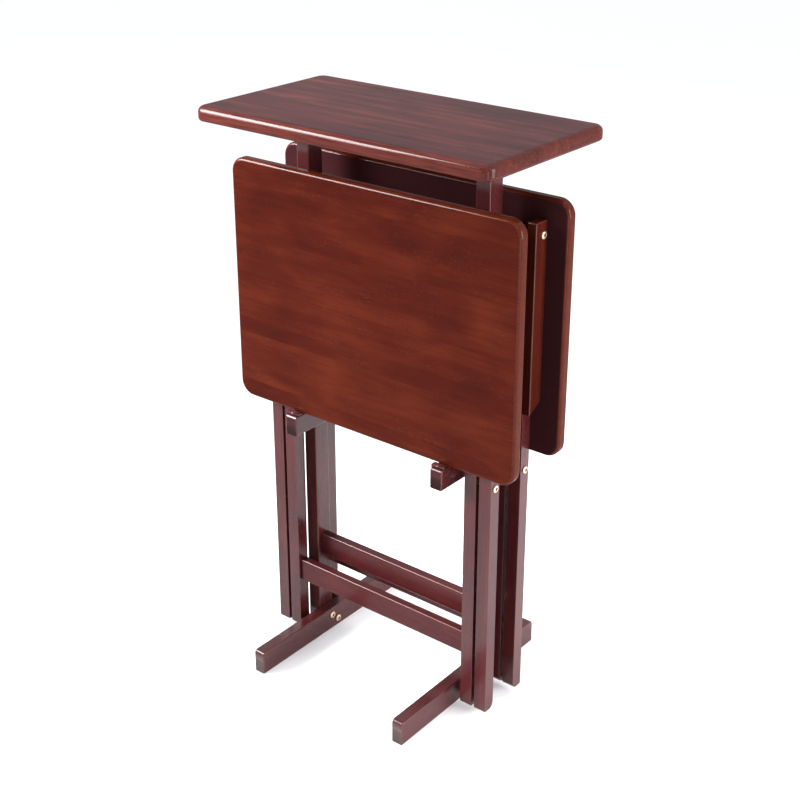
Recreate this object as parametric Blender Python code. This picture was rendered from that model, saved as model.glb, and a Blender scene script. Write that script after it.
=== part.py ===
"""Folding tray tables on their storage stand.

Frame: X runs along the width of the tray tops, Y from front to back, Z up, in metres.
The origin lies on the floor, under the middle of the stand. Two tray tables hang folded on
the stand's arms, one in front and one behind. The back tray is the front one turned half
way round the Z axis.
"""

import math

import bmesh
import bpy
from mathutils import Matrix, Vector

GAP = 0.0003                     # clearance between pieces that touch
EDGE = 0.0015                    # small rounding on the edges of sticks
CURVE_STEPS = 8                  # segments in a quarter round of a panel corner

# Stand
STAND_HEIGHT = 0.830
TOP_SIZE = (0.478, 0.256, 0.0205)
TOP_CORNER = 0.015
TOP_ROUND_OVER = 0.008
POST_INNER_X = 0.1395
POST_SIZE = (0.0220, 0.0280)
POST_FOOT_GAP = 0.002            # the posts stop just short of the floor
FOOT_SIZE = (0.0180, 0.320, 0.0360)
FOOT_NOSE = 0.006
ARM_SIZE = (0.0200, 0.1530, 0.0297)
ARM_TOP_Z = 0.3897
ARM_NOSE = 0.006
STOP_SIZE = (0.0200, 0.0095, 0.0040)
STOP_INSET = 0.0010
RAIL_SIZE = (0.0140, 0.0350)
STAND_RAIL_Z = 0.1280
DOWEL_RADIUS = 0.0045
DOWEL_LENGTH = 0.030

# Tray tables
TRAY_SIZE = (0.4826, 0.0170, 0.3580)
TRAY_CORNER = 0.022
TRAY_ROUND_OVER = 0.005
TRAY_FACE_Y = -0.0615            # outer face of the stored front tray
TRAY_BOTTOM_Z = 0.3900
LEG_SIZE = (0.0192, 0.0192)
LEG_BOTTOM_Z = 0.0130
LEG_TOP_RADIUS = 0.0096
PIVOT = Vector((0.0, -0.0345, 0.7017))     # where the outer legs turn in the cleats
CROSS_PIVOT_Z = 0.3660                     # where the two pairs of legs cross
OUTER_LEG_X = 0.1765
INNER_LEG_X = 0.1525
CLEAT_X = 0.1965
CLEAT_SIZE = (0.0137, 0.0257, 0.2650)
CLEAT_TOP_Z = 0.7200
CLEAT_SLANT = 0.0140
TRAY_RAIL_Z = 0.0925
TRAY_RAIL_SETBACK = 0.0040
CROSSBAR_RADIUS = 0.0088
TENON_RADIUS = 0.0050
TENON_LENGTH = 0.0120

# Bolts
SHANK_RADIUS = 0.0030
HEAD_RADIUS = 0.0052
HEAD_HEIGHT = 0.0022
SOCKET_RADIUS = 0.0021
SOCKET_DEPTH = 0.0012
NUT_RADIUS = 0.0060
NUT_HEIGHT = 0.0030
BOLT_EMBED = 0.0110              # how far a stand bolt reaches into the post

WOOD_TRAY = (0.130, 0.020, 0.010)
WOOD_STICK = (0.110, 0.022, 0.014)
BRASS = (0.640, 0.440, 0.220)


def clear_scene():
    """Removes whatever the scene holds."""
    for item in list(bpy.data.objects):
        bpy.data.objects.remove(item, do_unlink=True)


def finish(name, colour, roughness, metallic=0.0):
    """Returns a new Principled material."""
    made = bpy.data.materials.new(name + "_finish")
    made.use_nodes = True
    shader = made.node_tree.nodes["Principled BSDF"]
    shader.inputs["Base Color"].default_value = (*colour, 1.0)
    shader.inputs["Roughness"].default_value = roughness
    shader.inputs["Metallic"].default_value = metallic
    return made


def stained_wood(name, colour=WOOD_STICK):
    """Returns the glossy stained wood of one piece."""
    return finish(name, colour, 0.25)


def brass(name):
    """Returns the plated brass of one bolt or nut."""
    return finish(name, BRASS, 0.3, 1.0)


def add_object(name, mesh_data, parent=None, location=(0.0, 0.0, 0.0), material=None):
    """Turns a bmesh into a named object under its parent."""
    mesh = bpy.data.meshes.new(name)
    mesh_data.to_mesh(mesh)
    mesh_data.free()
    piece = bpy.data.objects.new(name, mesh)
    bpy.context.collection.objects.link(piece)
    piece.parent = parent
    piece.location = location
    if material is not None:
        mesh.materials.append(material)
    return piece


def add_empty(name, location, parent=None, yaw=0.0):
    """Adds an empty that marks an axis or carries a group."""
    empty = bpy.data.objects.new(name, None)
    bpy.context.collection.objects.link(empty)
    empty.parent = parent
    empty.location = location
    empty.rotation_euler = (0.0, 0.0, yaw)
    return empty


def box_mesh(low, high):
    """Returns a bmesh box between two corners."""
    low, high = Vector(low), Vector(high)
    mesh_data = bmesh.new()
    bmesh.ops.create_cube(mesh_data, size=1.0)
    size = high - low
    bmesh.ops.scale(mesh_data, vec=size, verts=mesh_data.verts)
    bmesh.ops.translate(mesh_data, vec=(low + high) / 2, verts=mesh_data.verts)
    return mesh_data


def round_edges(mesh_data, edges, radius, segments):
    """Rounds the given edges."""
    bmesh.ops.bevel(mesh_data, geom=list(edges), offset=radius, offset_type="OFFSET",
                    affect="EDGES", segments=segments, profile=0.5, material=-1,
                    clamp_overlap=True)


def edge_along(edge, axis):
    """Tells whether an edge runs along one axis."""
    way = edge.verts[1].co - edge.verts[0].co
    return abs(way[axis]) > 0.999 * way.length


def stick(low, high, edge=EDGE):
    """Returns a straight stick with slightly rounded edges."""
    mesh_data = box_mesh(low, high)
    round_edges(mesh_data, mesh_data.edges, edge, 1)
    return mesh_data


def panel(low, high, thin_axis, corner, round_over):
    """Returns a board with rounded corners and a round-over along both rims."""
    mesh_data = box_mesh(low, high)
    corners = [edge for edge in mesh_data.edges if edge_along(edge, thin_axis)]
    round_edges(mesh_data, corners, corner, CURVE_STEPS)
    rims = [edge for edge in mesh_data.edges
            if len(edge.link_faces) == 2
            and sum(abs(face.normal[thin_axis]) > 0.9 for face in edge.link_faces) == 1]
    round_edges(mesh_data, rims, round_over, 3)
    return mesh_data


def extrude_outline(outline, x_low, x_high, edge=0.0):
    """Extrudes a Y-Z outline along X and softens the edges of its two flat sides."""
    mesh_data = bmesh.new()
    corners = [mesh_data.verts.new((x_low, y, z)) for y, z in outline]
    face = mesh_data.faces.new(corners)
    grown = bmesh.ops.extrude_face_region(mesh_data, geom=[face])
    moved = [item for item in grown["geom"] if isinstance(item, bmesh.types.BMVert)]
    bmesh.ops.translate(mesh_data, vec=(x_high - x_low, 0.0, 0.0), verts=moved)
    bmesh.ops.recalc_face_normals(mesh_data, faces=mesh_data.faces)
    if edge:
        sides = [item for item in mesh_data.edges if not edge_along(item, 0)]
        round_edges(mesh_data, sides, edge, 1)
    return mesh_data


def arc(centre, radius, start, end, steps):
    """Returns points along an arc in the Y-Z plane, angles in degrees from +Y towards +Z."""
    points = []
    for step in range(steps + 1):
        angle = math.radians(start + (end - start) * step / steps)
        points.append((centre[0] + radius * math.cos(angle),
                       centre[1] + radius * math.sin(angle)))
    return points


def lathe(profile, steps=16):
    """Turns a profile of (radius, height) points about +Z; it starts and ends on the axis."""
    mesh_data = bmesh.new()
    points = [mesh_data.verts.new((radius, 0.0, height)) for radius, height in profile]
    edges = [mesh_data.edges.new(pair) for pair in zip(points, points[1:])]
    bmesh.ops.spin(mesh_data, geom=points + edges, cent=(0, 0, 0), axis=(0, 0, 1),
                   angle=2 * math.pi, steps=steps, use_merge=True)
    bmesh.ops.remove_doubles(mesh_data, verts=mesh_data.verts, dist=1e-6)
    bmesh.ops.recalc_face_normals(mesh_data, faces=mesh_data.faces)
    return mesh_data


def cylinder(radius, length, steps=16):
    """Returns a cylinder along +Z that starts at the origin."""
    return lathe([(0.0, 0.0), (radius, 0.0), (radius, length), (0.0, length)], steps)


def point_along(mesh_data, way, start):
    """Turns a +Z shape to point along a direction and moves it to its start."""
    turn = Vector((0, 0, 1)).rotation_difference(Vector(way)).to_matrix().to_4x4()
    bmesh.ops.transform(mesh_data, matrix=Matrix.Translation(start) @ turn,
                        verts=mesh_data.verts)
    return mesh_data


def smooth(piece):
    """Shades a turned piece smooth, with its sharp edges kept."""
    piece.data.shade_smooth()
    piece.data.set_sharp_from_angle(angle=math.radians(35))


def cut(piece, cutter_mesh, name):
    """Cuts a closed shape out of a piece."""
    cutter = add_object(name, cutter_mesh, piece.parent, piece.location)
    cutter.hide_render = True
    cutter.display_type = "WIRE"
    modifier = piece.modifiers.new(name, "BOOLEAN")
    modifier.operation = "DIFFERENCE"
    modifier.solver = "EXACT"
    modifier.object = cutter


def drill(piece, start, way, radius, length, name):
    """Drills a clearance hole whose start and direction are in the piece's own frame."""
    cut(piece, point_along(cylinder(radius + GAP, length), way, Vector(start)), name)


def bolt_mesh(length):
    """Returns a pan-head bolt along +Z: its head ends at the origin, its shank goes on."""
    top = -HEAD_HEIGHT
    return lathe([(0.0, top), (HEAD_RADIUS * 0.72, top), (HEAD_RADIUS * 0.93, top * 0.72),
                  (HEAD_RADIUS, top * 0.35), (HEAD_RADIUS, 0.0), (SHANK_RADIUS, 0.0),
                  (SHANK_RADIUS, length), (0.0, length)])


def add_bolt(name, start, way, length, parent=None, location=(0.0, 0.0, 0.0)):
    """Adds a hex-socket bolt; start is where its head meets the wood."""
    way = Vector(way)
    start = Vector(start) - way * GAP
    piece = add_object(name, point_along(bolt_mesh(length), way, start), parent, location,
                       brass(name))
    socket = bmesh.new()
    bmesh.ops.create_cone(socket, cap_ends=True, segments=6, radius1=SOCKET_RADIUS,
                          radius2=SOCKET_RADIUS, depth=2 * SOCKET_DEPTH)
    cut(piece, point_along(socket, way, start - way * HEAD_HEIGHT), name + "_socket")
    smooth(piece)
    return piece


def add_cap_nut(name, start, way, bore_depth, parent, location):
    """Adds a low cap nut; it lies on the wood at start and its sleeve goes into the hole."""
    way = Vector(way)
    start = Vector(start) - way * GAP
    profile = [(0.0, -NUT_HEIGHT), (NUT_RADIUS * 0.8, -NUT_HEIGHT),
               (NUT_RADIUS, -NUT_HEIGHT * 0.6), (NUT_RADIUS, 0.0), (SHANK_RADIUS, 0.0),
               (SHANK_RADIUS, bore_depth), (0.0, bore_depth)]
    piece = add_object(name, point_along(lathe(profile), way, start), parent, location,
                       brass(name))
    smooth(piece)
    return piece


def side_range(inner, thickness, side):
    """Returns the X range of a piece that lies from inner outwards on one side."""
    ends = (side * inner, side * (inner + thickness))
    return min(ends), max(ends)


def nosed_beam(x_range, length, bottom, top, nose):
    """Returns a beam along Y whose upper end corners are rounded off."""
    half = length / 2
    outline = [(-half, bottom), (half, bottom)]
    outline += arc((half - nose, top - nose), nose, 0, 90, 4)
    outline += arc((-half + nose, top - nose), nose, 90, 180, 4)
    return extrude_outline(outline, x_range[0], x_range[1], EDGE)


def build_stand():
    """Builds the fixed top, posts, feet, arms and rail, with their bolts and dowels."""
    top_under = STAND_HEIGHT - TOP_SIZE[2]
    top_low = (-TOP_SIZE[0] / 2, -TOP_SIZE[1] / 2, top_under)
    top_high = (TOP_SIZE[0] / 2, TOP_SIZE[1] / 2, STAND_HEIGHT)
    top = add_object("stand_top", panel(top_low, top_high, 2, TOP_CORNER, TOP_ROUND_OVER),
                     material=stained_wood("stand_top", WOOD_TRAY))
    rail_half = POST_INNER_X - GAP
    rail_top = STAND_RAIL_Z + RAIL_SIZE[1]
    rail = add_object(
        "stand_rail",
        stick((-rail_half, -RAIL_SIZE[0] / 2, STAND_RAIL_Z),
              (rail_half, RAIL_SIZE[0] / 2, rail_top)),
        material=stained_wood("stand_rail"))
    for side, label in ((-1, "left"), (1, "right")):
        build_stand_side(side, label, top, rail, top_under)


def build_stand_side(side, label, top, rail, top_under):
    """Builds one post with the foot, arm, stops and fasteners on it."""
    outward = (side, 0.0, 0.0)
    inward = (-side, 0.0, 0.0)
    post_x = side_range(POST_INNER_X, POST_SIZE[0], side)
    post = add_object(
        "stand_post_" + label,
        stick((post_x[0], -POST_SIZE[1] / 2, POST_FOOT_GAP),
              (post_x[1], POST_SIZE[1] / 2, top_under - GAP)),
        material=stained_wood("stand_post_" + label))

    foot_inner = POST_INNER_X - GAP - FOOT_SIZE[0]
    foot = add_object(
        "stand_foot_" + label,
        nosed_beam(side_range(foot_inner, FOOT_SIZE[0], side), FOOT_SIZE[1], 0.0,
                   FOOT_SIZE[2], FOOT_NOSE),
        material=stained_wood("stand_foot_" + label))
    arm_inner = POST_INNER_X - GAP - ARM_SIZE[0]
    arm = add_object(
        "stand_arm_" + label,
        nosed_beam(side_range(arm_inner, ARM_SIZE[0], side), ARM_SIZE[1],
                   ARM_TOP_Z - ARM_SIZE[2], ARM_TOP_Z, ARM_NOSE / 3),
        material=stained_wood("stand_arm_" + label))

    stop_x = side_range(arm_inner, STOP_SIZE[0], side)
    for front, place in ((-1, "front"), (1, "back")):
        end = front * (ARM_SIZE[1] / 2 - STOP_INSET - ARM_NOSE / 3)
        ends = sorted((end, end - front * STOP_SIZE[1]))
        name = "arm_stop_" + place + "_" + label
        add_object(
            name,
            stick((stop_x[0], ends[0], ARM_TOP_Z + GAP),
                  (stop_x[1], ends[1], ARM_TOP_Z + GAP + STOP_SIZE[2])),
            material=stained_wood(name))

    drill_depth = BOLT_EMBED + 0.001
    bolts = (
        ("foot_bolt_upper_" + label, foot, foot_inner, FOOT_SIZE[0], (-0.0065, 0.0245)),
        ("foot_bolt_lower_" + label, foot, foot_inner, FOOT_SIZE[0], (0.0065, 0.0125)),
        ("arm_bolt_" + label, arm, arm_inner, ARM_SIZE[0], (0.0, 0.3745)),
    )
    for name, beam, inner, thickness, (y, z) in bolts:
        start = (side * inner, y, z)
        add_bolt(name, start, outward, thickness + BOLT_EMBED)
        for wood, tag in ((beam, "_hole"), (post, "_seat")):
            drill(wood, Vector(start) - Vector(outward) * 0.001, outward, SHANK_RADIUS,
                  thickness + drill_depth, name + tag)

    rail_middle = STAND_RAIL_Z + RAIL_SIZE[1] / 2
    outer_face = (side * (POST_INNER_X + POST_SIZE[0]), 0.0, rail_middle)
    rail_bolt = "rail_bolt_" + label
    add_bolt(rail_bolt, outer_face, inward, POST_SIZE[0] + 0.022)
    for wood, tag in ((post, "_hole"), (rail, "_seat")):
        drill(wood, Vector(outer_face) - Vector(inward) * 0.001, inward, SHANK_RADIUS,
              POST_SIZE[0] + 0.024, rail_bolt + tag)

    dowel_x = side * (POST_INNER_X + POST_SIZE[0] / 2)
    dowel_low = top_under - DOWEL_LENGTH * 0.65
    dowel = add_object("top_dowel_" + label, cylinder(DOWEL_RADIUS, DOWEL_LENGTH, 12),
                       location=(dowel_x, 0.0, dowel_low),
                       material=finish("top_dowel_" + label, (0.52, 0.36, 0.20), 0.6))
    smooth(dowel)
    low_end = (dowel_x, 0.0, dowel_low - GAP)
    for wood, tag in ((post, "_seat"), (top, "_socket")):
        drill(wood, low_end, (0, 0, 1), DOWEL_RADIUS, DOWEL_LENGTH + 2 * GAP,
              "top_dowel_" + label + tag)


def leg_outline():
    """Returns a leg's side view about its pivot: a round top and one rounded toe."""
    half = LEG_SIZE[1] / 2
    bottom = LEG_BOTTOM_Z - PIVOT.z
    toe = half * 0.95
    outline = [(-half, bottom)]
    outline += arc((half - toe, bottom + toe), toe, 270, 360, 5)
    outline += arc((0.0, 0.0), LEG_TOP_RADIUS, 0, 180, 10)
    return outline


def cleat_outline():
    """Returns a cleat's side view about the pivot, with its lower end cut on a slant."""
    back = TRAY_FACE_Y + TRAY_SIZE[1] + GAP - PIVOT.y
    front = back + CLEAT_SIZE[1]
    top = CLEAT_TOP_Z - PIVOT.z
    bottom = top - CLEAT_SIZE[2]
    return [(back, bottom + CLEAT_SLANT), (front, bottom), (front, top), (back, top)]


def build_tray(place, yaw):
    """Builds one folded tray table under its own empty."""
    base = add_empty(place + "_tray_origin", (0, 0, 0), yaw=yaw)
    pivots = add_empty(place + "_pivot_axis", PIVOT, base)
    tray_top = add_empty(place + "_tray_top_axis", (0, 0, 0), pivots)
    outer = add_empty(place + "_outer_legs_axis", (0, 0, 0), pivots)
    crossbar_axis = add_empty(place + "_crossbar_axis", (0, 0, 0), tray_top)
    inner = add_empty(place + "_inner_legs_axis", (0, 0, 0), crossbar_axis)

    face = TRAY_FACE_Y - PIVOT.y
    low = (-TRAY_SIZE[0] / 2, face, TRAY_BOTTOM_Z - PIVOT.z)
    high = (TRAY_SIZE[0] / 2, face + TRAY_SIZE[1], TRAY_BOTTOM_Z + TRAY_SIZE[2] - PIVOT.z)
    name = place + "_tray_top"
    add_object(name, panel(low, high, 1, TRAY_CORNER, TRAY_ROUND_OVER), tray_top,
               material=stained_wood(name, WOOD_TRAY))

    inner_face = INNER_LEG_X - GAP
    crossbar = [(0.0, -inner_face - TENON_LENGTH), (TENON_RADIUS, -inner_face - TENON_LENGTH),
                (TENON_RADIUS, -inner_face), (CROSSBAR_RADIUS, -inner_face),
                (CROSSBAR_RADIUS, inner_face), (TENON_RADIUS, inner_face),
                (TENON_RADIUS, inner_face + TENON_LENGTH), (0.0, inner_face + TENON_LENGTH)]
    name = place + "_crossbar"
    smooth(add_object(name, point_along(lathe(crossbar), (1, 0, 0), (0, 0, 0)),
                      crossbar_axis, material=stained_wood(name)))

    rail_front = -LEG_SIZE[1] / 2 + TRAY_RAIL_SETBACK
    rail_bottom = TRAY_RAIL_Z - PIVOT.z
    name = place + "_leg_rail"
    add_object(name, stick((-inner_face, rail_front, rail_bottom),
                           (inner_face, rail_front + RAIL_SIZE[0] * 0.9,
                            rail_bottom + RAIL_SIZE[1])),
               inner, material=stained_wood(name))

    for side in (-1, 1):
        world_side = side * round(math.cos(yaw))
        label = "right" if world_side > 0 else "left"
        build_tray_side(place, side, label, tray_top, outer, inner, pivots)


def build_tray_side(place, side, label, tray_top, outer, inner, pivots):
    """Builds the cleat, legs and pivot hardware on one side of a tray table."""
    outward, inward = (side, 0.0, 0.0), (-side, 0.0, 0.0)
    origin = (0.0, 0.0, 0.0)
    cross = (0.0, 0.0, CROSS_PIVOT_Z - PIVOT.z)

    cleat_name = place + "_cleat_" + label
    cleat_x = side_range(CLEAT_X, CLEAT_SIZE[0], side)
    cleat = add_object(cleat_name, extrude_outline(cleat_outline(), *cleat_x, EDGE),
                       tray_top, material=stained_wood(cleat_name))
    outer_name = place + "_outer_leg_" + label
    outer_x = side_range(OUTER_LEG_X, LEG_SIZE[0], side)
    outer_leg = add_object(outer_name, extrude_outline(leg_outline(), *outer_x, EDGE),
                           outer, material=stained_wood(outer_name))
    inner_name = place + "_inner_leg_" + label
    inner_x = side_range(INNER_LEG_X, LEG_SIZE[0], side)
    inner_leg = add_object(inner_name, extrude_outline(leg_outline(), *inner_x, EDGE),
                           inner, material=stained_wood(inner_name))

    cleat_outer = CLEAT_X + CLEAT_SIZE[0]
    through = cleat_outer - OUTER_LEG_X
    half_way = through - 0.008
    bolt_name = place + "_cleat_bolt_" + label
    nut_name = place + "_cleat_nut_" + label
    add_bolt(bolt_name, (side * cleat_outer, 0.0, 0.0), inward, half_way, pivots)
    add_cap_nut(nut_name, (side * OUTER_LEG_X, 0.0, 0.0), outward, 0.0070, pivots, origin)
    for wood, tag in ((cleat, "_cleat_hole"), (outer_leg, "_leg_hole")):
        drill(wood, (side * (OUTER_LEG_X - 0.001), 0.0, 0.0), outward, SHANK_RADIUS,
              through + 0.002, bolt_name + tag)

    outer_face = OUTER_LEG_X + LEG_SIZE[0]
    bolt_name = place + "_cross_bolt_" + label
    add_bolt(bolt_name, (side * outer_face, 0.0, cross[2]), inward, LEG_SIZE[0] + 0.0020,
             outer)
    drill(outer_leg, (side * (OUTER_LEG_X - 0.001), 0.0, cross[2]), outward, SHANK_RADIUS,
          LEG_SIZE[0] + 0.002, bolt_name + "_hole")
    nut_name = place + "_cross_nut_" + label
    add_cap_nut(nut_name, (side * INNER_LEG_X, 0.0, cross[2]), outward,
                LEG_SIZE[0] + 0.0010, inner, origin)
    drill(inner_leg, (side * (INNER_LEG_X - 0.001), 0.0, cross[2]), outward, SHANK_RADIUS,
          LEG_SIZE[0] + 0.002, nut_name + "_hole")
    drill(inner_leg, (side * (INNER_LEG_X - 0.001), 0.0, 0.0), outward, TENON_RADIUS,
          TENON_LENGTH + 0.0015, inner_name + "_mortise")


def main():
    """Builds the whole object."""
    clear_scene()
    build_stand()
    build_tray("front", 0.0)
    build_tray("back", math.pi)


main()
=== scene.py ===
"""Finished looks of two folding tray tables on their storage stand.

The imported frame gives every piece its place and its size. This script makes each piece again
with turned, eased and rounded shapes, stains and lacquers the wood, plates the fasteners, and
sets up a pale studio round the furniture. Lengths are in metres.
"""

import logging
import math
from dataclasses import dataclass, field
from enum import Enum
from typing import Any, Iterable, Sequence, Union

import bmesh
import bpy
from mathutils import Matrix, Vector


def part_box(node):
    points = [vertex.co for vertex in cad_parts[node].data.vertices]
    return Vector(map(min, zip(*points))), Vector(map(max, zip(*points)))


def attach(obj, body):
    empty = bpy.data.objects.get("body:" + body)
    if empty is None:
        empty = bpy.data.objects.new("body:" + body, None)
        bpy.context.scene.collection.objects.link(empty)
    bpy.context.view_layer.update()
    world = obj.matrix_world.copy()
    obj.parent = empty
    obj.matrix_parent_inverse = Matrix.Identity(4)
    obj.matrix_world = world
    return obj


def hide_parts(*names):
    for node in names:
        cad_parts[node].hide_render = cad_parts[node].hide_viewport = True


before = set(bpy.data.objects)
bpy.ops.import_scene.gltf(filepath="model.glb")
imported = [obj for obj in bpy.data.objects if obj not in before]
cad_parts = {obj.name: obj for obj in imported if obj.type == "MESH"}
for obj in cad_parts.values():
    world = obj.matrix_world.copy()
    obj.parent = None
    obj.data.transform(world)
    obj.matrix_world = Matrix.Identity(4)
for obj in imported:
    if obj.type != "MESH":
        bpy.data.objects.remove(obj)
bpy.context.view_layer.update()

Colour = tuple[float, float, float]
Point = tuple[float, float, float]

EASED_ATTRIBUTE = "eased_edge"       # 1 in the middle of an eased edge, 0 on flat faces
PAINTED_SHADE_ATTRIBUTE = "painted_shade_face"         # 1 where shade is painted: the arms' and lips' end faces, the trays' inner faces and the socket floors
SMALLEST_GAP = 1e-6                  # vertices closer than this are one
X, Y, Z = range(3)                   # the axes' numbers
PARALLEL = 0.999                     # cosine above which an edge runs along an axis
SAME_WAY = 0.99                      # cosine above which a face looks along a direction
CREASE = math.radians(35.0)          # turned pieces are creased above this angle
MIX_AMOUNT, MIX_FIRST, MIX_SECOND = 0, 6, 7    # inputs of a colour Mix node
MIX_RESULT = 2                                 # its colour output

logging.basicConfig(level=logging.INFO, format="%(message)s")
log = logging.getLogger("tray_tables")


# ---------------------------------------------------------------------------- shader nodes


class Signal:
    """One number that varies over a surface; arithmetic on it adds Math nodes."""

    def __init__(self, tree: "FinishTree", socket: bpy.types.NodeSocket) -> None:
        """Wraps a node's output socket.

        Args:
            tree: The node tree that the socket belongs to.
            socket: The output socket.
        """
        self.tree = tree
        self.socket = socket

    def _math(self, operation: str, first: "Number", second: "Number") -> "Signal":
        """Adds one Math node.

        Args:
            operation: The Math node's operation.
            first: Its first input.
            second: Its second input.

        Returns:
            The node's result.
        """
        node = self.tree.node("ShaderNodeMath", {"operation": operation},
                              {0: first, 1: second})
        return Signal(self.tree, node.outputs[0])

    def __add__(self, other: "Number") -> "Signal":
        """Returns self + other."""
        return self._math("ADD", self, other)

    def __radd__(self, other: "Number") -> "Signal":
        """Returns other + self."""
        return self._math("ADD", other, self)

    def __sub__(self, other: "Number") -> "Signal":
        """Returns self - other."""
        return self._math("SUBTRACT", self, other)

    def __rsub__(self, other: "Number") -> "Signal":
        """Returns other - self."""
        return self._math("SUBTRACT", other, self)

    def __mul__(self, other: "Number") -> "Signal":
        """Returns self * other."""
        return self._math("MULTIPLY", self, other)

    def __rmul__(self, other: "Number") -> "Signal":
        """Returns other * self."""
        return self._math("MULTIPLY", other, self)

    def __truediv__(self, other: "Number") -> "Signal":
        """Returns self / other."""
        return self._math("DIVIDE", self, other)

    def floor(self) -> "Signal":
        """Returns the whole number at or below self."""
        return self._math("FLOOR", self, 0.0)

    def between(self, low: float, high: float) -> "Signal":
        """Returns a soft step.

        Args:
            low: Where the step starts; the result is 0 below it.
            high: Where the step ends; the result is 1 above it.

        Returns:
            The step as a new signal.
        """
        node = self.tree.node(
            "ShaderNodeMapRange", {"interpolation_type": "SMOOTHSTEP"},
            {"Value": self, "From Min": low, "From Max": high})
        return Signal(self.tree, node.outputs["Result"])


Number = Union[Signal, float]


class FinishTree:
    """The node tree of one finish, around one Principled shader."""

    def __init__(self, name: str) -> None:
        """Makes a material with an empty tree.

        Args:
            name: The material's name.
        """
        self.material = bpy.data.materials.new(name)
        self.material.use_nodes = True
        self.tree = self.material.node_tree
        self.tree.nodes.clear()
        self.shader = self.node("ShaderNodeBsdfPrincipled", {}, {})
        output = self.node("ShaderNodeOutputMaterial", {}, {})
        self.tree.links.new(self.shader.outputs[0], output.inputs["Surface"])

    def node(self, kind: str, settings: dict[str, Any],
             sockets: dict[Union[str, int], Any]) -> bpy.types.Node:
        """Adds one node.

        Args:
            kind: The node's type.
            settings: Its own settings, set first; "stops" are a colour ramp's stops.
            sockets: A value, signal or output socket for each named or numbered input.

        Returns:
            The new node.
        """
        made = self.tree.nodes.new(kind)
        for setting, value in settings.items():
            if setting == "stops":
                self._set_stops(made.color_ramp, value)
            else:
                setattr(made, setting, value)
        self.connect(made, sockets)
        return made

    def connect(self, node: bpy.types.Node, sockets: dict[Union[str, int], Any]) -> None:
        """Sets or links a node's inputs.

        Args:
            node: The node whose inputs are set.
            sockets: A value, signal or output socket for each named or numbered input.
        """
        for key, value in sockets.items():
            if isinstance(value, Signal):
                value = value.socket
            if isinstance(value, bpy.types.NodeSocket):
                self.tree.links.new(value, node.inputs[key])
            else:
                node.inputs[key].default_value = value

    @staticmethod
    def _set_stops(ramp: bpy.types.ColorRamp,
                   stops: Sequence[tuple[float, Colour]]) -> None:
        """Gives a colour ramp its stops.

        Args:
            ramp: The ramp of a new Color Ramp node, which holds two stops.
            stops: The position and the colour of each stop.
        """
        while len(ramp.elements) < len(stops):
            ramp.elements.new(0.5)
        for element, (position, colour) in zip(ramp.elements, stops):
            element.position = position
            element.color = (*colour, 1.0)

    def object_place(self) -> bpy.types.NodeSocket:
        """Returns each point's place in the furniture's own frame."""
        return self.node("ShaderNodeTexCoord", {}, {}).outputs["Object"]

    def noise(self, place: bpy.types.NodeSocket, scale: Point, detail: float,
              distortion: float = 0.0) -> Signal:
        """Adds a noise stretched along the axes.

        Args:
            place: The point that the noise is read at.
            scale: How many times the noise changes in a metre along X, Y and Z.
            detail: How many finer layers it has.
            distortion: How far it is warped.

        Returns:
            The noise, around 0.5.
        """
        stretched = self.node("ShaderNodeMapping", {"vector_type": "POINT"},
                              {"Vector": place, "Scale": scale})
        noise = self.node("ShaderNodeTexNoise", {"noise_dimensions": "3D"},
                          {"Vector": stretched.outputs["Vector"], "Scale": 1.0,
                           "Detail": detail, "Distortion": distortion})
        return Signal(self, noise.outputs[0])

    def blend(self, amount: Number, first: Any, second: Any) -> bpy.types.NodeSocket:
        """Blends two colours.

        Args:
            amount: How much of the second colour is taken, from 0 to 1.
            first: A colour or a colour socket.
            second: A colour or a colour socket.

        Returns:
            The blended colour's socket.
        """
        colours = [(*item, 1.0) if isinstance(item, tuple) else item
                   for item in (first, second)]
        mixed = self.node("ShaderNodeMix", {"data_type": "RGBA"},
                          {MIX_AMOUNT: amount, MIX_FIRST: colours[0],
                           MIX_SECOND: colours[1]})
        return mixed.outputs[MIX_RESULT]

    def bump(self, height: Signal, strength: float, depth: float) -> bpy.types.NodeSocket:
        """Turns a height into a normal.

        Args:
            height: The surface's height, from 0 to 1.
            strength: How much of the bump is used.
            depth: How deep a height of 1 is, in metres.

        Returns:
            The normal's socket.
        """
        bump = self.node("ShaderNodeBump", {},
                         {"Height": height, "Strength": strength, "Distance": depth})
        return bump.outputs["Normal"]


# -------------------------------------------------------------------------------- finishes


class Grain(Enum):
    """The axis that a piece's fibres run along."""

    ALONG_X = X
    ALONG_Y = Y
    ALONG_Z = Z


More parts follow.
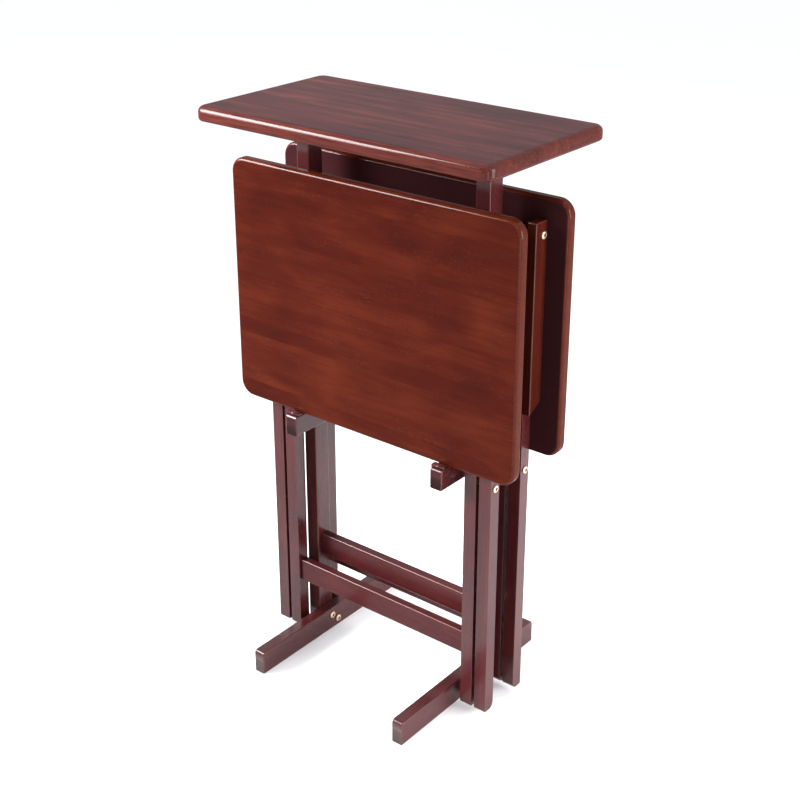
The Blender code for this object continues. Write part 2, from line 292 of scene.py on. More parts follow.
@dataclass(frozen=True)
class StainedWood:
    """Hardwood under a red-brown stain and a clear lacquer."""

    name: str
    grain: Grain
    deep: Colour = (0.020, 0.0035, 0.0044)
    middle: Colour = (0.046, 0.0078, 0.0088)
    warm: Colour = (0.070, 0.0145, 0.0135)
    # Lighter colour of eased edges: thin stain, with a painted edge highlight
    edge_wear_and_highlight: Colour = (0.120, 0.0310, 0.0210)
    # Painted shade: the dark mauve colour of faces in shade, such as the trays' inner faces
    # and the arms' ends
    painted_shade: Colour = (0.027, 0.0085, 0.0100)
    # Painted sheen: the light colour of the pores, for the sheen caught in them
    pore_sheen: Colour = (0.110, 0.0440, 0.0400)
    board_width: float = 0.0         # 0 where the piece is one solid stick
    board_axis: int = Z              # the axis across the glued boards
    board_start: float = 0.37        # where the first board starts, in board widths
    board_shift: float = 9.0         # how far apart in the wood two boards are cut, in metres
    board_contrast: float = 0.16     # how much the boards differ in tone
    blotch: float = 0.55             # how strongly the stain takes in clouds
    streak: float = 0.50             # how strongly the growth rings show
    fibre: float = 0.40              # how strongly single fibres show
    pore_sheen_show: float = 0.26          # how much of the painted sheen in the pores shows
    painted_shade_show: float = 0.85          # how much of the painted shade colour shows on the shaded faces
    roughness: float = 0.42          # of the stained wood under the lacquer
    lacquer: float = 0.92            # how much of a flat face the lacquer covers
    edge_lacquer: float = 1.0        # the same on eased edges
    shaded_lacquer: float = 0.25        # how much of it stays on the painted-shade faces, so they reflect less
    lacquer_roughness: float = 0.22
    lacquer_ior: float = 1.45

    def _stretch(self, along: float, across: float) -> Point:
        """Returns a noise scale, in changes per metre, along and across the fibres."""
        scale = [across, across, across]
        scale[self.grain.value] = along
        return tuple(scale)

    def _boards(self, tree: FinishTree,
                place: bpy.types.NodeSocket) -> tuple[bpy.types.NodeSocket, Number]:
        """Splits a panel into glued boards, each with a grain and a tone of its own.

        Args:
            tree: The tree that the nodes are added to.
            place: The point on the panel.

        Returns:
            The point moved to its own board's wood, and the board's tone from 0 to 1.
        """
        if not self.board_width:
            return place, 0.5
        split = tree.node("ShaderNodeSeparateXYZ", {}, {0: place})
        across = Signal(tree, split.outputs[self.board_axis])
        board = (across / self.board_width + self.board_start).floor()
        random = tree.node("ShaderNodeTexWhiteNoise", {"noise_dimensions": "1D"},
                           {"W": board})
        shift = tree.node("ShaderNodeVectorMath", {"operation": "SCALE"},
                          {0: random.outputs["Color"], "Scale": self.board_shift})
        moved = tree.node("ShaderNodeVectorMath", {"operation": "ADD"},
                          {0: place, 1: shift.outputs[0]})
        return moved.outputs[0], Signal(tree, random.outputs["Value"])

    def build(self) -> bpy.types.Material:
        """Builds the finish.

        Returns:
            The material.
        """
        tree = FinishTree(self.name)
        place, board_tone = self._boards(tree, tree.object_place())
        clouds = tree.noise(place, self._stretch(9.0, 17.0), detail=2.0, distortion=0.4)
        rings = tree.noise(place, self._stretch(3.2, 75.0), detail=3.0, distortion=0.5)
        fibres = tree.noise(place, self._stretch(26.0, 520.0), detail=3.0)
        pores = tree.noise(place, self._stretch(190.0, 1500.0), detail=1.0)
        pore_patches = tree.noise(place, self._stretch(14.0, 40.0), detail=1.0)
        pores = pores.between(0.64, 0.72)
        pore_patches = pore_patches.between(0.42, 0.62)

        tone = (0.5 + (clouds - 0.5) * self.blotch + (rings - 0.5) * self.streak
                + (fibres - 0.5) * self.fibre
                + (board_tone * self.board_contrast - self.board_contrast / 2))
        stain = tree.node("ShaderNodeValToRGB",
                          {"stops": ((0.18, self.deep), (0.5, self.middle),
                                     (0.82, self.warm))},
                          {"Fac": tone}).outputs["Color"]
        # Light pore specks: real pores, coloured with a painted sheen
        stain = tree.blend(pores * pore_patches * self.pore_sheen_show, stain, self.pore_sheen)
        # Eased edges turn lighter: thin stain, with a painted edge highlight
        eased = tree.node("ShaderNodeAttribute", {"attribute_name": EASED_ATTRIBUTE}, {})
        edge = Signal(tree, eased.outputs["Fac"])
        stain = tree.blend(edge * (0.35 + (fibres - 0.5) * 1.2), stain, self.edge_wear_and_highlight)
        # Painted shade: marked faces turn towards the dark mauve shade colour
        shade_node = tree.node("ShaderNodeAttribute", {"attribute_name": PAINTED_SHADE_ATTRIBUTE}, {})
        shade_mask = Signal(tree, shade_node.outputs["Fac"])
        stain = tree.blend(shade_mask * self.painted_shade_show, stain, self.painted_shade)

        relief = 0.6 + fibres * 0.4 - pores * 0.5
        tree.connect(tree.shader, {
            "Base Color": stain,
            "Roughness": self.roughness + (fibres - 0.5) * 0.3 + (clouds - 0.5) * 0.2,
            "Specular IOR Level": 0.0,
            # Less lacquer where shade is painted, so those faces reflect less
            "Coat Weight": ((edge * (self.edge_lacquer - self.lacquer) + self.lacquer)
                            * (1.0 - shade_mask * (1.0 - self.shaded_lacquer))),
            "Coat Roughness": self.lacquer_roughness,
            "Coat IOR": self.lacquer_ior,
            "Normal": tree.bump(relief, strength=0.15, depth=0.00025),
        })
        return tree.material


@dataclass(frozen=True)
class PlatedBrass:
    """Brass-plated steel with a satin face, spots of tarnish, and painted shade in its socket
    hollows.
    """

    name: str
    plating: Colour = (0.760, 0.560, 0.430)
    tarnish: Colour = (0.420, 0.270, 0.160)
    # Painted shade: the dark colour put in the sockets' hollows
    painted_hollow_shade: Colour = (0.040, 0.022, 0.014)

    def build(self) -> bpy.types.Material:
        """Builds the finish.

        Returns:
            The material.
        """
        tree = FinishTree(self.name)
        place = tree.object_place()
        clouds = tree.noise(place, (420.0, 420.0, 420.0), detail=3.0)
        scratches = tree.noise(place, (900.0, 5200.0, 2600.0), detail=2.0)
        spots = (clouds + (scratches - 0.5) * 0.5).between(0.52, 0.78)
        hollow_shade = tree.node("ShaderNodeAttribute", {"attribute_name": PAINTED_SHADE_ATTRIBUTE}, {})
        face = tree.blend(spots, self.plating, self.tarnish)
        tree.connect(tree.shader, {
            # Painted shade in the socket, where marked
            "Base Color": tree.blend(hollow_shade.outputs["Fac"], face, self.painted_hollow_shade),
            "Metallic": 1.0,
            "Roughness": 0.42 + scratches * 0.18,
            "Normal": tree.bump(scratches, strength=0.15, depth=0.00004),
        })
        return tree.material


@dataclass(frozen=True)
class BareWood:
    """Plain turned dowel wood, without stain."""

    name: str
    early: Colour = (0.560, 0.385, 0.225)
    late: Colour = (0.380, 0.235, 0.120)

    def build(self) -> bpy.types.Material:
        """Builds the finish.

        Returns:
            The material.
        """
        tree = FinishTree(self.name)
        fibres = tree.noise(tree.object_place(), (700.0, 700.0, 30.0), detail=3.0)
        tree.connect(tree.shader, {
            "Base Color": tree.blend(fibres.between(0.35, 0.65), self.early, self.late),
            "Roughness": 0.55 + fibres * 0.2,
            "Normal": tree.bump(fibres, strength=0.3, depth=0.0002),
        })
        return tree.material


@dataclass(frozen=True)
class StudioPaint:
    """Matt pale paint of the studio's floor."""

    name: str
    light: Colour = (0.95, 0.95, 0.95)
    shade: Colour = (0.93, 0.93, 0.935)

    def build(self) -> bpy.types.Material:
        """Builds the finish.

        Returns:
            The material.
        """
        tree = FinishTree(self.name)
        clouds = tree.noise(tree.object_place(), (0.7, 0.7, 0.7), detail=2.0)
        tree.connect(tree.shader, {
            "Base Color": tree.blend(clouds, self.light, self.shade),
            "Roughness": 0.85,
            "Specular IOR Level": 0.1,
        })
        return tree.material


Finish = Union[StainedWood, PlatedBrass, BareWood, StudioPaint]


class FinishRack:
    """Keeps one material of each finish, for all the pieces that wear it."""

    def __init__(self) -> None:
        """Starts an empty rack."""
        self._made: dict[Finish, bpy.types.Material] = {}

    def material(self, finish: Finish) -> bpy.types.Material:
        """Returns the material of a finish, which it builds on first use."""
        if finish not in self._made:
            self._made[finish] = finish.build()
        return self._made[finish]


TRAY_BOARD = StainedWood("tray_board", Grain.ALONG_X, board_width=0.074, board_axis=Z,
                         deep=(0.014, 0.0017, 0.0011), middle=(0.034, 0.0042, 0.0020),
                         warm=(0.062, 0.0101, 0.0038), edge_wear_and_highlight=(0.090, 0.0170, 0.0070),
                         pore_sheen=(0.110, 0.0400, 0.0280), blotch=0.6, streak=0.30, fibre=0.26,
                         lacquer=0.13, edge_lacquer=0.27, lacquer_roughness=0.12)
TOP_BOARD = StainedWood("stand_top_board", Grain.ALONG_X, board_width=0.066, board_axis=Y,
                        deep=(0.013, 0.0020, 0.0022), middle=(0.038, 0.0064, 0.0062),
                        warm=(0.075, 0.0150, 0.0115), edge_wear_and_highlight=(0.100, 0.0240, 0.0160),
                        streak=0.95, lacquer=0.26, edge_lacquer=0.30,
                        lacquer_roughness=0.10)
UPRIGHT_STICK = StainedWood("upright_stick", Grain.ALONG_Z)
CLEAT_STICK = StainedWood("cleat_stick", Grain.ALONG_Z, deep=(0.020, 0.0030, 0.0018),
                          middle=(0.040, 0.0058, 0.0032), warm=(0.064, 0.0110, 0.0055),
                          lacquer=0.45, edge_lacquer=0.6)
CROSS_STICK = StainedWood("cross_stick", Grain.ALONG_X, lacquer=0.42)
FOOT_STICK = StainedWood("foot_stick", Grain.ALONG_Y)
BOLT_PLATING = PlatedBrass("bolt_plating")
DOWEL_WOOD = BareWood("dowel_wood")


# ------------------------------------------------------------------------ shaping the wood


class Blank:
    """A block of wood that is shaped step by step."""

    def __init__(self, low: Vector, high: Vector) -> None:
        """Cuts a square block.

        Args:
            low: The block's lowest corner.
            high: The block's highest corner.
        """
        self.mesh = bmesh.new()
        self.eased = self.mesh.verts.layers.float.new(EASED_ATTRIBUTE)
        # The mark of painted shade, 1 on the faces that are darkened
        self.shade_mask = self.mesh.verts.layers.float.new(PAINTED_SHADE_ATTRIBUTE)
        bmesh.ops.create_cube(self.mesh, size=1.0)
        bmesh.ops.scale(self.mesh, vec=high - low, verts=self.mesh.verts)
        bmesh.ops.translate(self.mesh, vec=(low + high) / 2, verts=self.mesh.verts)

    @classmethod
    def over(cls, node: str) -> "Blank":
        """Returns a block as large as a node's box."""
        return cls(*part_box(node))

    def edges_along(self, axis: int) -> list[bmesh.types.BMEdge]:
        """Returns the edges that run along one axis."""
        return [edge for edge in self.mesh.edges if self._runs_along(edge, axis)]

    def edges_across(self, axis: int) -> list[bmesh.types.BMEdge]:
        """Returns the edges that don't run along one axis."""
        return [edge for edge in self.mesh.edges if not self._runs_along(edge, axis)]

    @staticmethod
    def _runs_along(edge: bmesh.types.BMEdge, axis: int) -> bool:
        """Tells whether an edge runs along one axis."""
        way = edge.verts[1].co - edge.verts[0].co
        return abs(way[axis]) > PARALLEL * way.length

    def edges_at(self, height: float) -> list[bmesh.types.BMEdge]:
        """Returns the edges that run from side to side, along X, at one height."""
        return [edge for edge in self.edges_along(X)
                if all(abs(vertex.co.z - height) < SMALLEST_GAP for vertex in edge.verts)]

    def rim(self, way: Vector) -> list[bmesh.types.BMEdge]:
        """Returns the edges round the flat faces that look one way."""
        return [edge for edge in self.mesh.edges
                if len(edge.link_faces) == 2
                and sum(face.normal.dot(way) > SAME_WAY for face in edge.link_faces) == 1]

    def round_over(self, edges: Iterable[bmesh.types.BMEdge], radius: float,
                   segments: int, edge_wear_and_highlight: bool = False) -> None:
        """Rounds edges.

        Args:
            edges: The edges to round.
            radius: The radius of the rounding.
            segments: How many faces go round it.
            edge_wear_and_highlight: Whether the new edge takes the lighter edge colour, which
                is thin stain and a painted highlight.
        """
        made = bmesh.ops.bevel(self.mesh, geom=list(edges), offset=radius,
                               offset_type="OFFSET", affect="EDGES", segments=segments,
                               profile=0.5, material=-1, clamp_overlap=True)
        if edge_wear_and_highlight:
            fresh = set(made["faces"])
            for vertex in made["verts"]:
                if all(face in fresh for face in vertex.link_faces):
                    vertex[self.eased] = 1.0

    def ease_all_but(self, axis: int) -> None:
        """Marks the whole edge of a board as eased, but not its faces across an axis."""
        for vertex in self.mesh.verts:
            if all(abs(face.normal[axis]) < SAME_WAY for face in vertex.link_faces):
                vertex[self.eased] = 1.0

    def paint_shade(self, way: Vector) -> None:
        """Marks the flat faces that look one way with painted shade: a dark colour and less
        lacquer.
        """
        for face in self.mesh.faces:
            if face.normal.dot(way) > SAME_WAY:
                for vertex in face.verts:
                    vertex[self.shade_mask] = 1.0

    def paint_shade_on_ends(self) -> None:
        """Marks both end faces of a piece, across Y, with painted shade."""
        for way in (-1, 1):
            self.paint_shade(Vector((0, way, 0)))

    def finished(self) -> bmesh.types.BMesh:
        """Merges doubles, turns the faces outwards and gives the mesh away."""
        bmesh.ops.remove_doubles(self.mesh, verts=self.mesh.verts, dist=SMALLEST_GAP)
        bmesh.ops.recalc_face_normals(self.mesh, faces=self.mesh.faces)
        return self.mesh


@dataclass(frozen=True)
class Fastener:
    """A turned fastener with a hex socket in its head, which lies along X."""

    head_height: float
    dome: float                      # how far the head rises from its rim to its flat
    flat: float                      # radius of the head's flat, as a share of its radius
    shank_radius: float = 0.0030
    socket_radius: float = 0.0023
    socket_depth: float = 0.0013
    tip_share: float = 0.2           # the tip's chamfer, in shank radii
    steps: int = 48
    dome_steps: int = 6

    def _profile(self, radius: float, length: float) -> list[tuple[float, float]]:
        """Returns the turned outline from the head's flat to the shank's tip.

        Args:
            radius: The head's radius.
            length: The whole length.

        Returns:
            Pairs of radius and depth below the head's flat.
        """
        points = []
        for step in range(self.dome_steps + 1):
            angle = math.radians(90.0 * step / self.dome_steps)
            points.append((radius * (self.flat + (1.0 - self.flat) * math.sin(angle)),
                           self.dome * (1.0 - math.cos(angle))))
        chamfer = self.shank_radius * self.tip_share
        points += [(radius, self.head_height), (self.shank_radius, self.head_height),
                   (self.shank_radius, length - chamfer),
                   (self.shank_radius - chamfer, length), (0.0, length)]
        return points

    def mesh_over(self, node: str, head_side: int) -> bmesh.types.BMesh:
        """Turns the fastener where a node lies.

        Args:
            node: The frame's node.
            head_side: 1 where the head is at the node's highest X, -1 at its lowest.

        Returns:
            The fastener's mesh, in place.
        """
        low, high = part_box(node)
        radius = (high.z - low.z) / 2
        middle = (low + high) / 2
        mesh = bmesh.new()
        mesh.verts.layers.float.new(PAINTED_SHADE_ATTRIBUTE)
        points = [mesh.verts.new((reach, 0.0, -depth))
                  for reach, depth in self._profile(radius, high.x - low.x)]
        edges = [mesh.edges.new(pair) for pair in zip(points, points[1:])]
        bmesh.ops.spin(mesh, geom=points + edges, cent=(0, 0, 0), axis=(0, 0, 1),
                       angle=2 * math.pi, steps=self.steps, use_merge=True)
        self._sink_socket(mesh)
        bmesh.ops.remove_doubles(mesh, verts=mesh.verts, dist=SMALLEST_GAP)
        bmesh.ops.recalc_face_normals(mesh, faces=mesh.faces)

        head_x = high.x if head_side > 0 else low.x
        turn = Matrix.Rotation(math.radians(90.0 * head_side), 4, "Y")
        bmesh.ops.transform(mesh, verts=mesh.verts,
                            matrix=Matrix.Translation((head_x, middle.y, middle.z)) @ turn)
        return mesh

    def _sink_socket(self, mesh: bmesh.types.BMesh) -> None:
        """Closes the head's flat round a hex socket.

        Args:
            mesh: The turned fastener, open at its flat, which lies at height 0.
        """
        flat_edge = [edge for edge in mesh.edges if edge.is_boundary
                     and all(abs(vertex.co.z) < SMALLEST_GAP for vertex in edge.verts)]
        hexagon = bmesh.ops.create_circle(mesh, segments=6, radius=self.socket_radius)
        sides = list({edge for vertex in hexagon["verts"] for edge in vertex.link_edges})
        bmesh.ops.subdivide_edges(mesh, edges=sides, cuts=self.steps // 6 - 1)
        mouth = [edge for edge in mesh.edges if edge.is_wire]
        bmesh.ops.bridge_loops(mesh, edges=flat_edge + mouth)
        walls = bmesh.ops.extrude_edge_only(mesh, edges=mouth)["geom"]
        floor = [item for item in walls if isinstance(item, bmesh.types.BMVert)]
        bmesh.ops.translate(mesh, vec=(0.0, 0.0, -self.socket_depth), verts=floor)
        # Painted shade on the socket's floor and walls
        painted_shade = mesh.verts.layers.float[PAINTED_SHADE_ATTRIBUTE]
        for vertex in floor + [vertex for edge in mouth for vertex in edge.verts]:
            vertex[painted_shade] = 1.0
        bmesh.ops.contextual_create(
            mesh, geom=[item for item in walls if isinstance(item, bmesh.types.BMEdge)
                        and item.is_boundary])


PAN_HEAD = Fastener(head_height=0.0022, dome=0.0012, flat=0.62, socket_depth=0.0030)
CAP_NUT = Fastener(head_height=0.0030, dome=0.0020, flat=0.55)


# --------------------------------------------------------------------------- sub-assemblies


def add_to_scene(name: str, data: bpy.types.ID) -> bpy.types.Object:
    """Adds an object to the scene.

    Args:
        name: The object's name.
        data: Its mesh, lamp or camera.

    Returns:
        The object.
    """
    made = bpy.data.objects.new(name, data)
    bpy.context.scene.collection.objects.link(made)
    return made


@dataclass
class SubAssembly:
    """Pieces that belong together and are dressed from the same rack."""

    rack: FinishRack
    ease: float = 0.0016             # radius of every eased edge
    ease_steps: int = 4

    def add_piece(self, node: str, body: str, mesh: bmesh.types.BMesh, finish: Finish,
                  slot: str) -> bpy.types.Object:
        """Puts one finished piece in place of a node.

        Args:
            node: The frame's node that the piece stands for.
            body: The frame's body that it rides on.
            mesh: Its mesh, in place.
            finish: Its finish.
            slot: Not used.

        Returns:
            The piece.
        """
        name = "finished_" + node
        data = bpy.data.meshes.new(name)
        mesh.to_mesh(data)
        mesh.free()
        data.shade_smooth()
        data.materials.append(self.rack.material(finish))
        piece = add_to_scene(name, data)
        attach(piece, body)
        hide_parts(node)
        log.info("%s: %d faces, %s", piece.name, len(data.polygons), finish.name)
        return piece

    def add_wood(self, node: str, body: str, blank: Blank, finish: StainedWood,
                 slot: str = "stick_wood") -> None:
        """Adds a shaped blank, with flat faces shaded flat up to their rounded edges.

        Args:
            node: The frame's node that the piece stands for.
            body: The frame's body that it rides on.
            blank: The shaped blank.
            finish: Its stain and lacquer.
            slot: A label handed on to add_piece.
        """
        piece = self.add_piece(node, body, blank.finished(), finish, slot)
        shading = piece.modifiers.new("even_shading", "WEIGHTED_NORMAL")
        shading.keep_sharp = True

    def build_stick(self, node: str, body: str, finish: StainedWood) -> None:
        """Shapes a straight stick with eased edges.

        Args:
            node: The frame's node.
            body: The frame's body.
            finish: Its finish.
        """
        stick = Blank.over(node)
        stick.round_over(stick.mesh.edges, self.ease, self.ease_steps, edge_wear_and_highlight=True)
        self.add_wood(node, body, stick, finish)

    def add_fastener(self, node: str, body: str, fastener: Fastener,
                     head_side: int) -> None:
        """Adds a bolt or a nut.

        Args:
            node: The frame's node that the piece stands for.
            body: The frame's body that it rides on.
            fastener: What is turned.
            head_side: The side of the node, along X, that its head is on.
        """
        mesh = fastener.mesh_over(node, head_side)
        piece = self.add_piece(node, body, mesh, BOLT_PLATING, "brass")
        piece.data.set_sharp_from_angle(angle=CREASE)


@dataclass
class Stand(SubAssembly):
    """The storage stand: a fixed top on two posts, with feet, arms and a rail."""

    body: str = "stand"
    top_corner: float = 0.015
    top_corner_steps: int = 16
    top_upper_round: float = 0.0085
    top_upper_steps: int = 10
    top_lower_round: float = 0.0050
    top_lower_steps: int = 6
    foot_nose: float = 0.0060
    arm_nose: float = 0.0040
    nose_steps: int = 8
    stop_round: float = 0.0018
    stop_steps: int = 5

    def build(self) -> None:
        """Builds every piece of the stand."""
        self.build_top()
        self.build_stick("stand_rail", self.body, CROSS_STICK)
        for side, label in ((-1, "left"), (1, "right")):
            self.build_stick("stand_post_" + label, self.body, UPRIGHT_STICK)
            self.build_beam("stand_foot_" + label, self.foot_nose)
            # The arms' end faces, under the trays, get painted shade
            self.build_beam("stand_arm_" + label, self.arm_nose, shade_ends=True)
            for end in ("front", "back"):
                self.build_stop(f"arm_stop_{end}_{label}")
            self.build_bolts(side, label)
            self.dress_dowel("top_dowel_" + label)

    def build_top(self) -> None:
        """Shapes the fixed top: round corners, a full upper and a small lower round-over."""
        board = Blank.over("stand_top")
        board.round_over(board.edges_along(Z), self.top_corner, self.top_corner_steps)
        board.round_over(board.rim(Vector((0, 0, 1))), self.top_upper_round,
                         self.top_upper_steps)
        board.round_over(board.rim(Vector((0, 0, -1))), self.top_lower_round,
                         self.top_lower_steps)
        board.ease_all_but(Z)
        self.add_wood("stand_top", self.body, board, TOP_BOARD, "board_wood")

    def build_beam(self, node: str, nose: float, shade_ends: bool = False) -> None:
        """Shapes a foot or an arm, whose upper ends are rounded off.

        Args:
            node: The frame's node.
            nose: The radius at its upper ends.
            shade_ends: Whether its end faces get painted shade, as the arms' ends under the
                trays do.
        """
        low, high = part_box(node)
        beam = Blank(low, high)
        beam.round_over(beam.edges_at(high.z), nose, self.nose_steps)
        beam.round_over(beam.edges_across(X), self.ease, self.ease_steps, edge_wear_and_highlight=True)
        if shade_ends:
            beam.paint_shade_on_ends()
        self.add_wood(node, self.body, beam, FOOT_STICK)

    def build_stop(self, node: str) -> None:
        """Shapes the small raised lip at one end of an arm.

        Args:
            node: The frame's node.
        """
        low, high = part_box(node)
        lip = Blank(low, high)
        lip.round_over(lip.edges_at(high.z), self.stop_round, self.stop_steps, edge_wear_and_highlight=True)
        # The lips' end faces, under the trays, get painted shade
        lip.paint_shade_on_ends()
        self.add_wood(node, self.body, lip, FOOT_STICK)

    def build_bolts(self, side: int, label: str) -> None:
        """Turns the bolts of one side.

        Args:
            side: -1 on the left, 1 on the right.
            label: The side's name.
        """
        for bolt in ("foot_bolt_upper_", "foot_bolt_lower_", "arm_bolt_"):
            self.add_fastener(bolt + label, self.body, PAN_HEAD, -side)
        self.add_fastener("rail_bolt_" + label, self.body, PAN_HEAD, side)

    def dress_dowel(self, node: str) -> None:
        """Gives the frame's own dowel its wood.

        Args:
            node: The frame's node.
        """
        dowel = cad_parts[node]
        dowel.data.materials.clear()
        dowel.data.materials.append(self.rack.material(DOWEL_WOOD))
        log.info("%s: the frame's own, %s", node, DOWEL_WOOD.name)


@dataclass
class TrayTable(SubAssembly):
    """One folded tray table: its top, cleats, two pairs of legs, rail and crossbar."""

    place: str = "front"
    inward: int = 1                  # the sign of Y from the tray towards the stand
    corner: float = 0.022
    corner_steps: int = 18
    rim_round: float = 0.0050
    rim_steps: int = 8
    cleat_slant: float = 0.0140      # how far the lower end rises on the tray's side
    leg_top_share: float = 0.999     # radius of the round top, in half depths of a leg
    leg_top_steps: int = 14
    toe_share: float = 0.95          # radius of the rounded toe, in half depths of a leg
    toe_steps: int = 8
    crossbar_steps: int = 40
    tenon_radius: float = 0.0050
    tenon_length: float = 0.0120

    def build(self) -> None:
        """Builds every piece of the tray table."""
        self.build_top()
        self.build_stick(self.place + "_leg_rail", self.place + "_inner_legs", CROSS_STICK)
        self.build_crossbar()
        for side, label in ((-1, "left"), (1, "right")):
            self.build_cleat(label)
            self.build_leg(f"{self.place}_outer_leg_{label}", f"{self.place}_outer_legs")
            self.build_leg(f"{self.place}_inner_leg_{label}", f"{self.place}_inner_legs")
            self.build_fasteners(side, label)

    def build_top(self) -> None:
        """Shapes the tray's top: round corners and round-overs along both rims."""
        node = self.place + "_tray_top"
        board = Blank.over(node)
        board.round_over(board.edges_along(Y), self.corner, self.corner_steps)
        for way in (-1, 1):
            board.round_over(board.rim(Vector((0, way, 0))), self.rim_round,
                             self.rim_steps)
        board.ease_all_but(Y)
        # Painted shade on the inner face, which lies between the trays
        board.paint_shade(Vector((0, self.inward, 0)))
        self.add_wood(node, self.place + "_table_top", board, TRAY_BOARD, "board_wood")

    def build_cleat(self, label: str) -> None:
        """Shapes a cleat, whose lower end slants up towards the tray's top.

        Args:
            label: The side's name.
        """
        node = f"{self.place}_cleat_{label}"
        low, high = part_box(node)
        cleat = Blank(low, high)
        middle = (low + high) / 2
        foot = [vertex for vertex in cleat.mesh.verts
                if vertex.co.z < middle.z and (vertex.co.y - middle.y) * self.inward < 0]
        bmesh.ops.translate(cleat.mesh, vec=(0, 0, self.cleat_slant), verts=foot)
        cleat.round_over(cleat.mesh.edges, self.ease, self.ease_steps, edge_wear_and_highlight=True)
        self.add_wood(node, self.place + "_table_top", cleat, CLEAT_STICK)

    def build_leg(self, node: str, body: str) -> None:
        """Shapes a leg: a round top about its pivot and one rounded toe.

        Args:
            node: The frame's node.
            body: The frame's body.
        """
        low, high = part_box(node)
        half = (high.y - low.y) / 2
        leg = Blank(low, high)
        upper = leg.edges_at(high.z)
        heel, toe = sorted(leg.edges_at(low.z),
                           key=lambda edge: edge.verts[0].co.y * self.inward)
        leg.round_over(upper, half * self.leg_top_share, self.leg_top_steps)
        leg.round_over([toe], half * self.toe_share, self.toe_steps)
        leg.round_over([heel], self.ease, self.ease_steps, edge_wear_and_highlight=True)
        leg.round_over(leg.edges_across(X), self.ease, self.ease_steps, edge_wear_and_highlight=True)
        self.add_wood(node, body, leg, UPRIGHT_STICK)

    def build_crossbar(self) -> None:
        """Turns the round crossbar with a tenon at each end."""
        node = self.place + "_crossbar"
        low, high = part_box(node)
        radius = (high.z - low.z) / 2
        bar_length = high.x - low.x - 2 * self.tenon_length
        mesh = bmesh.new()
        bmesh.ops.create_cone(mesh, cap_ends=True, segments=self.crossbar_steps,
                              radius1=radius, radius2=radius, depth=bar_length)
        for way in (-1, 1):
            end = [face for face in mesh.faces if face.normal.z * way > SAME_WAY]
            bmesh.ops.inset_region(mesh, faces=end, thickness=radius - self.tenon_radius,
                                   use_even_offset=True)
            tip = bmesh.ops.extrude_face_region(mesh, geom=end)["geom"]
            bmesh.ops.delete(mesh, geom=end, context="FACES_ONLY")
            bmesh.ops.translate(
                mesh, vec=(0, 0, way * self.tenon_length),
                verts=[item for item in tip if isinstance(item, bmesh.types.BMVert)])
        bmesh.ops.recalc_face_normals(mesh, faces=mesh.faces)
        turn = Matrix.Rotation(math.radians(90.0), 4, "Y")
        bmesh.ops.transform(mesh, verts=mesh.verts,
                            matrix=Matrix.Translation((low + high) / 2) @ turn)
        piece = self.add_piece(node, self.place + "_crossbar_slider", mesh, CROSS_STICK,
                               "stick_wood")
        piece.data.set_sharp_from_angle(angle=CREASE)

    def build_fasteners(self, side: int, label: str) -> None:
        """Turns the pivot bolts and nuts of one side.

        Args:
            side: -1 on the left, 1 on the right.
            label: The side's name.
        """
        pivots = self.place + "_pivots"
        for node, body, fastener, head_side in (
                ("cleat_bolt", pivots, PAN_HEAD, side),
                ("cleat_nut", pivots, CAP_NUT, -side),
                ("cross_bolt", self.place + "_outer_legs", PAN_HEAD, side),
                ("cross_nut", self.place + "_inner_legs", CAP_NUT, -side)):
            self.add_fastener(f"{self.place}_{node}_{label}", body, fastener, head_side)


# ---------------------------------------------------------------------------------- studio


@dataclass(frozen=True)
class SoftBox:
    """A large soft lamp."""

    name: str
    place: Point
    aim: Point
    width: float
    height: float
    power: float
    spread: float = 180.0            # how wide its beam opens, in degrees
    tint: Colour = (1.0, 1.0, 1.0)

    def build(self) -> None:
        """Adds the lamp to the scene."""
        lamp = bpy.data.lights.new(self.name, "AREA")
        lamp.shape = "RECTANGLE"
        lamp.size = self.width
        lamp.size_y = self.height
        lamp.energy = self.power
        lamp.color = self.tint
        lamp.spread = math.radians(self.spread)
        holder = add_to_scene(self.name, lamp)
        holder.location = self.place
        way = Vector(self.aim) - Vector(self.place)
        holder.rotation_euler = way.to_track_quat("-Z", "Y").to_euler()
        holder.visible_camera = False
        log.info("%s: %.2f x %.2f m, %.0f W", self.name, self.width, self.height,
                 self.power)


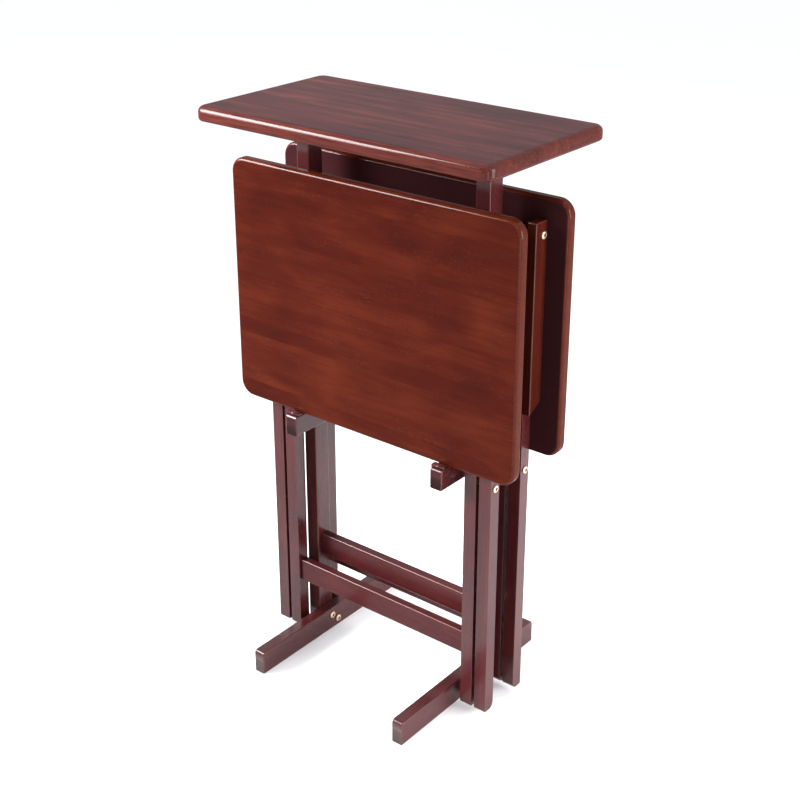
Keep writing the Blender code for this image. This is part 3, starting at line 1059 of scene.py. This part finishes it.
@dataclass
class Studio:
    """The pale floor, the soft lamps and the camera."""

    rack: FinishRack
    floor_size: float = 60.0
    room_light: Colour = (1.04, 1.055, 1.10)
    azimuth: float = 38.64
    elevation: float = 22.70
    distance: float = 1.9266
    aim: Point = (0.0080, 0.0, 0.5177)
    lens: float = 63.41
    downward_shift: float = 0.075    # of the lens, as a share of the picture's width
    lamps: tuple[SoftBox, ...] = field(default_factory=lambda: (
        SoftBox("front_left_softbox", place=(-1.00, -0.72, 1.12), aim=(-0.38, -0.2, 0.76),
                width=1.0, height=0.9, power=15.0, spread=50.0),
        SoftBox("front_right_strip", place=(1.15, -0.85, 0.35), aim=(0.2, 0.0, 0.5),
                width=0.06, height=0.6, power=3.2),
        SoftBox("right_softbox", place=(2.10, 0.35, 0.90), aim=(0.0, 0.0, 0.5),
                width=1.1, height=1.6, power=30.0, spread=110.0),
        SoftBox("overhead_softbox", place=(0.0, 0.1, 2.6), aim=(0.0, 0.1, 0.0),
                width=2.4, height=2.4, power=14.0),
    ))

    def build(self) -> None:
        """Builds the studio."""
        self.build_floor()
        self.build_room_light()
        for lamp in self.lamps:
            lamp.build()
        self.build_camera()

    def build_floor(self) -> None:
        """Lays the floor."""
        mesh = bmesh.new()
        bmesh.ops.create_grid(mesh, x_segments=1, y_segments=1, size=self.floor_size / 2)
        data = bpy.data.meshes.new("studio_floor")
        mesh.to_mesh(data)
        mesh.free()
        data.materials.append(self.rack.material(StudioPaint("studio_paint")))
        add_to_scene("studio_floor", data)

    def build_room_light(self) -> None:
        """Fills the room with even light."""
        world = bpy.data.worlds.new("room_light")
        world.use_nodes = True
        background = world.node_tree.nodes["Background"]
        background.inputs["Color"].default_value = (*self.room_light, 1.0)
        bpy.context.scene.world = world
        bpy.context.scene.view_settings.view_transform = "Standard"

    def build_camera(self) -> None:
        """Sets up the camera."""
        turn, tilt = math.radians(self.azimuth), math.radians(self.elevation)
        back = Vector((math.sin(turn) * math.cos(tilt), -math.cos(turn) * math.cos(tilt),
                       math.sin(tilt)))
        lens = bpy.data.cameras.new("camera")
        lens.lens = self.lens
        lens.shift_y = -self.downward_shift
        camera = add_to_scene("camera", lens)
        camera.location = Vector(self.aim) + back * self.distance
        camera.rotation_euler = back.to_track_quat("Z", "Y").to_euler()
        bpy.context.scene.camera = camera


def main() -> None:
    """Builds the furniture and the studio."""
    rack = FinishRack()
    Studio(rack).build()
    Stand(rack).build()
    TrayTable(rack, place="front", inward=1).build()
    TrayTable(rack, place="back", inward=-1).build()


if __name__ == "__main__":
    main()
